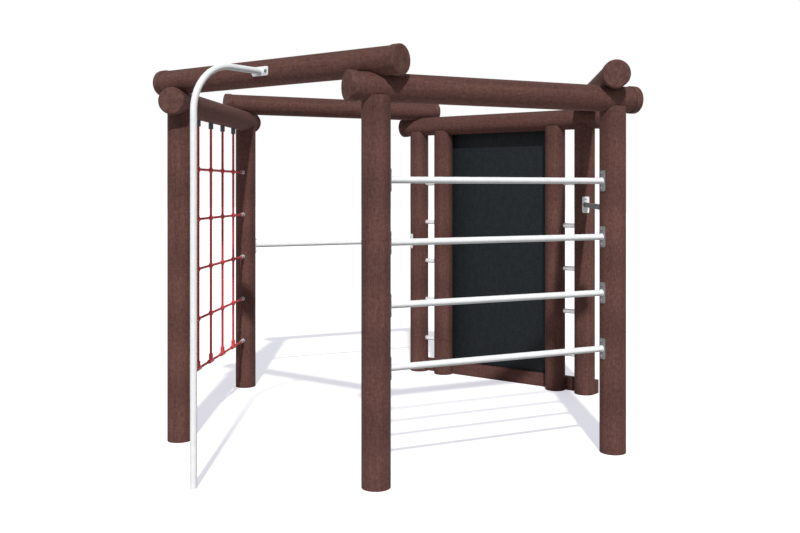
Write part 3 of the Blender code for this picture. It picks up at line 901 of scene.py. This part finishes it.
def plate_outline(inset):
    """Columns of arc and half height over a plate with round corners, drawn in by an inset."""
    half = FLANGE_WIDTH / 2 - inset
    top = FLANGE_HEIGHT / 2 - inset
    corner = FLANGE_CORNER - inset
    turns = quarter_turn(FLANGE_CORNER_STEPS)[:-1]
    side = [(half - corner * (1 - cos(t)), top - corner * (1 - sin(t))) for t in turns]
    run = half - corner
    middle = [(run * (2 * step / FLANGE_STEPS - 1), top) for step in range(FLANGE_STEPS + 1)]
    return [(-arc, height) for arc, height in side] + middle + side[::-1]


def plate_mesh(log_radius):
    """Plate curved round a log on Z at the origin; it faces +X, and its outer edge is eased."""
    inner = log_radius + GAP
    outer = inner + FLANGE_THICKNESS
    bm = bmesh.new()
    layers = []
    for radius, inset in ((inner, 0), (outer - FLANGE_EDGE, 0), (outer, FLANGE_EDGE)):
        columns = [(arc / log_radius, height) for arc, height in plate_outline(inset)]
        low = [bm.verts.new((radius * cos(t), radius * sin(t), -height)) for t, height in columns]
        high = [bm.verts.new((radius * cos(t), radius * sin(t), height)) for t, height in columns]
        layers.append((low, high))
    for low, high in (layers[0], layers[-1]):
        for step in range(len(low) - 1):
            bm.faces.new((low[step], low[step + 1], high[step + 1], high[step]))
    loops = [low + high[::-1] for low, high in layers]
    for below, above in zip(loops, loops[1:]):
        for step in range(len(below)):
            before = step - 1
            bm.faces.new((below[before], below[step], above[step], above[before]))
    return finished(bm, "plate")


def weld_mesh(log_radius):
    """Rippled bead where a tube meets its plate."""
    outer = log_radius + GAP + FLANGE_THICKNESS
    rings = []
    for turn in full_turn(WELD_POINTS):
        away = Vector((0, cos(turn), sin(turn)))
        centre = TUBE_RADIUS * away
        centre.x = sqrt(outer ** 2 - centre.y ** 2)
        radius = WELD_RADIUS * (1 + WELD_RIPPLE_SHARE * sin(WELD_RIPPLES * turn))
        rings.append((centre, away, Vector((1, 0, 0)), radius))
    return lofted("weld", rings, WELD_SIDES, endless=True)


def bolt_mesh(log_radius):
    """Washer and domed bolt head, at the middle height of a plate."""
    seat = log_radius + GAP + FLANGE_THICKNESS - BOLT_SINK
    washer = seat + BOLT_SINK + WASHER_THICKNESS
    profile = [(seat, WASHER_RADIUS), (washer - WASHER_EDGE, WASHER_RADIUS),
               (washer, WASHER_RADIUS - WASHER_EDGE), (washer, BOLT_HEAD_RADIUS)]
    profile += [(washer + BOLT_HEAD_HEIGHT * sin(t), BOLT_HEAD_RADIUS * cos(t))
                for t in quarter_turn(BOLT_HEAD_STEPS)[1:-1]]
    return lofted("bolt", [ring_on_x(x, radius) for x, radius in profile], SMALL_SIDES)


def tube_end(log_radius):
    """Distance from a log's axis at which a tube ends, inside the plate round that log."""
    back = log_radius + GAP
    front = sqrt((back + FLANGE_THICKNESS) ** 2 - TUBE_RADIUS ** 2)
    return (back + front) / 2


def bolts_mesh(log_radius):
    bolt = bolt_mesh(log_radius)
    bolts = [moved(bolt, Matrix.Translation((0, 0, z))) for z in (-BOLT_OFFSET, BOLT_OFFSET)]
    return combined("bolts", bolts)


def tube_mesh(name, reach):
    inner = TUBE_RADIUS - TUBE_WALL
    rings = [ring_on_x(-reach, TUBE_RADIUS), ring_on_x(reach, TUBE_RADIUS),
             ring_on_x(reach, inner), ring_on_x(-reach, inner)]
    return lofted(name, rings, TUBE_SIDES, endless=True)


def at_both_posts(mesh):
    """Copies of a fitting on the posts at both ends of a side, turned towards each other."""
    half = POST_SPACING / 2
    return [moved(mesh, Matrix.Translation((-half, 0, 0))),
            moved(mesh, Matrix.Translation((half, 0, 0)) @ Matrix.Rotation(pi, 4, "Z"))]


def make_bars(zinc, painted_shade_zinc):
    """Bars between two posts, each a welded tube and a pair of bolted plates."""
    tube = tube_mesh("bar_tube", POST_SPACING / 2 - tube_end(POST_RADIUS))
    bar = combined("bar", [tube, *at_both_posts(weld_mesh(POST_RADIUS))])
    bolted = combined("bolted", [plate_mesh(POST_RADIUS), bolts_mesh(POST_RADIUS)])
    plates = combined("plates", at_both_posts(bolted))
    # The climbing bars' plates and the high bar's tube take the zinc darkened as painted shade
    bars = {node: ("bc", zinc, painted_shade_zinc) for node in numbered("climbing_bar_", CLIMBING_BARS)}
    bars |= {"high_bar": ("cd", painted_shade_zinc, zinc), "low_bar": ("ef", zinc, zinc)}
    for node, (side, tube_finish, plate_finish) in bars.items():
        place = side_matrix(side, node_middle(node).z)
        stand_in(node, bar, tube_finish, place, "galvanised_steel")
        piece(node + "_plates", plates, plate_finish, place, "galvanised_steel")


def make_rungs(zinc):
    rung = tube_mesh("rung", node_size("rung_d_1").x / 2)
    for node in numbered("rung_d_", RUNGS) + numbered("rung_e_", RUNGS):
        stand_in(node, rung, zinc, Matrix.Translation(node_middle(node)), "galvanised_steel")


def make_pole(zinc, painted_shade_zinc):
    """Tube up from the ground, bent over to a plate on the upper beam."""
    place = side_matrix("ab")
    standoff = place.translation.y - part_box("sliding_pole")[0].y - TUBE_RADIUS
    bend = Vector((0, POLE_BEND_RADIUS - standoff, UPPER_BEAM_HEIGHT - POLE_BEND_RADIUS))
    path = [(Vector((0, -standoff, 0)), Vector((0, 1, 0)))]
    for turn in quarter_turn(POLE_BEND_STEPS):
        normal = Vector((0, cos(turn), -sin(turn)))
        path.append((bend - POLE_BEND_RADIUS * normal, normal))
    path.append((Vector((0, -tube_end(BEAM_RADIUS), UPPER_BEAM_HEIGHT)), Vector((0, 0, -1))))
    across = Vector((1, 0, 0))
    outside = [(point, across, normal, TUBE_RADIUS) for point, normal in path]
    inside = [(point, across, normal, TUBE_RADIUS - TUBE_WALL) for point, normal in path]
    tube = lofted("pole_tube", outside + inside[::-1], TUBE_SIDES, endless=True)
    onto_beam = (Matrix.Translation((0, 0, UPPER_BEAM_HEIGHT)) @ Matrix.Rotation(-pi / 2, 4, "Z")
                 @ Matrix.Rotation(pi / 2, 4, "X"))
    fitting = combined("fitting", [plate_mesh(BEAM_RADIUS), weld_mesh(BEAM_RADIUS)])
    mesh = combined("pole", [tube, moved(fitting, onto_beam)])
    stand_in("sliding_pole", mesh, zinc, place, "galvanised_steel")
    # The pole's bolts take the zinc darkened as painted shade
    piece("sliding_pole_bolts", bolts_mesh(BEAM_RADIUS), painted_shade_zinc, place @ onto_beam,
          "galvanised_steel")


# Rope net

def strand_outline():
    """Angle and radius round a rope of strands that press into each other."""
    reach = ROPE_RADIUS - STRAND_RADIUS
    points = []
    for number, around in enumerate(full_turn(ROPE_STRANDS * STRAND_POINTS)):
        share = number % STRAND_POINTS / STRAND_POINTS - 0.5
        turn = 2 * pi / ROPE_STRANDS * share
        radius = reach * cos(turn) + sqrt(STRAND_RADIUS ** 2 - (reach * sin(turn)) ** 2)
        points.append((around, radius))
    return points


def rope_mesh(name, stretches):
    """Stretches of rope along Z."""
    bm = bmesh.new()
    lay = bm.loops.layers.uv.new("lay")
    for start, end in stretches:
        add_rope(bm, lay, start, end)
    return finished(bm, name)


def add_rope(bm, lay, start, end):
    """One stretch; its UV map counts strands round it and as many units along it."""
    outline = strand_outline()
    count = round((end - start) / ROPE_LAY * RINGS_PER_LAY)
    pitch = (end - start) / count
    loops = []
    for ring in range(count + 1):
        height = start + pitch * ring
        twist = 2 * pi * height / ROPE_LAY
        loops.append([bm.verts.new((radius * cos(turn + twist), radius * sin(turn + twist), height))
                      for turn, radius in outline])
    bm.faces.new(loops[0])
    bm.faces.new(loops[-1])
    unit = 2 * pi * ROPE_RADIUS / ROPE_STRANDS
    for ring in range(count):
        low, high = loops[ring], loops[ring + 1]
        for step in range(len(outline)):
            after = (step + 1) % len(outline)
            face = bm.faces.new((low[step], low[after], high[after], high[step]))
            corners = ((step, ring), (step + 1, ring), (step + 1, ring + 1), (step, ring + 1))
            for corner, (across, along) in zip(face.loops, corners):
                corner[lay].uv = (across / STRAND_POINTS, along * pitch / unit)


def net_columns():
    """Places of the upright ropes along the side, at equal steps between the posts."""
    clear = POST_SPACING - 2 * POST_RADIUS
    return [clear * (step / (NET_ROPES + 1) - 0.5) for step in range(1, NET_ROPES + 1)]


def net_heights():
    return [node_middle(node).z for node in numbered("net_level_", NET_ROWS)]


def collar(half, radius, arris):
    """Short sleeve along Z with eased ends."""
    profile = [(-half, radius - arris), (arris - half, radius), (half - arris, radius),
               (half, radius - arris)]
    return lofted("collar", [ring_on_z(z, r) for z, r in profile], SMALL_SIDES)


def bore(low, high):
    """Cutter of a rope's way through a moulded piece."""
    rings = [ring_on_z(z, MOULD_BORE) for z in (low, high)]
    return lofted("bore", rings, SMALL_SIDES)


def onto_x(height=0.0):
    """Turns a body from Z to X and lifts it."""
    return Matrix.Translation((0, 0, height)) @ Matrix.Rotation(pi / 2, 4, "Y")


def connector_mesh():
    """Moulded ball round two crossed ropes, drawn out a little along each of them."""
    half = CONNECTOR_LENGTH / 2
    radius = ROPE_BORE + CONNECTOR_WALL
    bm = bmesh.new()
    bmesh.ops.create_icosphere(bm, subdivisions=BALL_SUBDIVISIONS, radius=radius)
    ball = finished(bm, "ball")
    sleeve = collar(half, ROPE_BORE + NECK_WALL, COLLAR_ARRIS)
    body = moulded("connector_body", [ball, sleeve, moved(sleeve, onto_x())])
    through = bore(-2 * half, 2 * half)
    body = cut("connector", body, [through, moved(through, onto_x())])
    outwards = [Vector((cos(turn), 0, sin(turn))) for turn in full_turn(LOG_SIDES)]
    ridge = [(out * (radius - CONNECTOR_SEAM), out, Vector((0, 1, 0)), CONNECTOR_SEAM)
             for out in outwards]
    return combined("connector", [body, lofted("seam", ridge, WELD_SIDES, endless=True)])


def tee_mesh():
    """Moulded tee round the lowest rope, flared up to the foot of an upright one."""
    radius = ROPE_BORE + TEE_WALL
    rings = []
    for step in range(TEE_FLARE_STEPS + 1):
        rise = step / TEE_FLARE_STEPS
        rings.append(ring_on_z(TEE_FLARE_HEIGHT * rise, radius, TEE_FLARE * (1 - rise) ** 2))
    rings += [ring_on_z(TEE_HEIGHT - TEE_ARRIS, radius), ring_on_z(TEE_HEIGHT, radius - TEE_ARRIS)]
    arm = lofted("tee_arm", rings, SMALL_SIDES)
    sleeve = moved(collar(TEE_LENGTH / 2, radius, TEE_ARRIS), onto_x())
    body = moulded("tee_body", [arm, sleeve])
    through = moved(bore(-TEE_LENGTH, TEE_LENGTH), onto_x())
    return cut("tee", body, [through, bore(TEE_SEAT, 2 * TEE_HEIGHT)])


def ferrule_mesh(cutter, x):
    """Sleeve under the beam that holds the top end of an upright rope."""
    radius = ROPE_BORE + FERRULE_WALL
    low = LOWER_BEAM_HEIGHT - BEAM_RADIUS - FERRULE_LENGTH
    profile = [(LOWER_BEAM_HEIGHT - BEAM_RADIUS / 2, radius)]
    profile += [(low + FERRULE_ARRIS * (1 - sin(t)), radius - FERRULE_ARRIS * (1 - cos(t)))
                for t in quarter_turn(ARRIS_STEPS)]
    profile += [(low, ROPE_BORE), (low + FERRULE_BORE_DEPTH, ROPE_BORE)]
    sleeve = lofted("ferrule_body", [ring_on_z(z, r) for z, r in profile], SMALL_SIDES)
    tool = moved(cutter, Matrix.Translation((-x, 0, LOWER_BEAM_HEIGHT)))
    return cut("ferrule", sleeve, [tool])


def socket_mesh():
    """Turned socket with a flange, outwards along X from the axis of its post."""
    seat = POST_RADIUS + SOCKET_FLANGE_THICKNESS
    mouth = POST_RADIUS + SOCKET_LENGTH
    radius = ROPE_BORE + SOCKET_WALL
    flange = radius + SOCKET_FLANGE_LIP
    ease = SOCKET_ARRIS / 2
    profile = [(POST_RADIUS / 2, flange), (seat - SOCKET_ARRIS, flange),
               (seat - ease, flange - ease / 2), (seat, flange - SOCKET_ARRIS),
               (seat, radius + ease), (seat + ease, radius), (mouth - ease, radius),
               (mouth, radius - ease), (mouth, ROPE_BORE), (mouth - SOCKET_BORE_DEPTH, ROPE_BORE)]
    body = lofted("socket_body", [ring_on_x(x, r) for x, r in profile], SMALL_SIDES)
    rings = [ring_on_z(z, POST_RADIUS + GAP) for z in (-POST_RADIUS, POST_RADIUS)]
    return cut("socket", body, [lofted("post_cutter", rings, LOG_SIDES)])


def upright_stretches(heights, top):
    """Spans of an upright rope from its tee to its ferrule, apart where a level one crosses."""
    spans = []
    start = heights[0] + TEE_SEAT + GAP
    for height in heights[1:]:
        spans.append((start, height - ROPE_BORE))
        start = height + ROPE_BORE
    return spans + [(start, top)]


def make_net(cutter, zinc):
    rope = laid_rope("rope")
    red = moulded_plastic("connector_red", RED_PLASTIC_TONES, RED_ROUGHNESS)
    grey = moulded_plastic("ferrule_grey", GREY_PLASTIC_TONES, GREY_ROUGHNESS)
    heights = net_heights()
    top = LOWER_BEAM_HEIGHT - BEAM_RADIUS - FERRULE_LENGTH + FERRULE_BORE_DEPTH - GAP
    upright = rope_mesh("upright_rope", upright_stretches(heights, top))
    connector, tee = connector_mesh(), tee_mesh()
    place = side_matrix("fa")
    for number, x in enumerate(net_columns(), 1):
        column = str(number)
        in_line = place @ Matrix.Translation((x, 0, 0))
        ferrule = ferrule_mesh(cutter, x)
        foot = in_line @ Matrix.Translation((0, 0, heights[0]))
        stand_in("net_upright_" + column, upright, rope, in_line, "net_rope")
        piece("net_tee_" + column, tee, red, foot, "net_rope")
        stand_in("net_ferrule_" + column, ferrule, grey, in_line, "net_ferrule")
        for row, height in enumerate(heights[1:], 2):
            knot = in_line @ Matrix.Translation((0, 0, height))
            piece("net_connector_" + column + "_" + str(row), connector, red, knot, "net_rope")
    make_level_ropes(rope, zinc, place, heights)


def make_level_ropes(rope, zinc, place, heights):
    """Ropes through the connectors, with a socket on the post at each end."""
    half = POST_SPACING / 2
    reach = half - POST_RADIUS - SOCKET_LENGTH + SOCKET_BORE_DEPTH - GAP
    level = rope_mesh("level_rope", [(-reach, reach)])
    socket = socket_mesh()
    for number, height in enumerate(heights, 1):
        row = str(number)
        stand_in("net_level_" + row, level, rope, place @ onto_x(height), "net_rope")
        for post, x, turn in (("f_", -half, 0), ("a_", half, pi)):
            holder = place @ Matrix.Translation((x, 0, height)) @ Matrix.Rotation(turn, 4, "Z")
            # The sockets' zinc here is darkened as painted shade
            stand_in("rope_socket_" + post + row, socket, zinc, holder, "galvanised_steel")


def build():
    make_camera()
    make_floor()
    make_light()
    cutter = beam_cutter()
    make_beams(cutter)
    make_posts(cutter)
    make_boards()
    zinc = galvanised("zinc", ZINC_TONES, underside=PAINTED_UNDERSIDE_SHADE)
    painted_shade_zinc = galvanised("painted_shade_zinc", PAINTED_SHADE_ZINC_TONES)
    make_bars(zinc, painted_shade_zinc)
    # The rungs take the paler zinc, a painted light
    make_rungs(galvanised("painted_light_zinc", PAINTED_LIGHT_ZINC_TONES, RUNG_METALLIC, RUNG_ROUGHNESS))
    make_pole(zinc, painted_shade_zinc)
    # The rope sockets take a zinc darkened as painted shade
    make_net(cutter, galvanised("socket_shade_zinc", PAINTED_SHADE_SOCKET_TONES))


build()
bpy.context.view_layer.update()
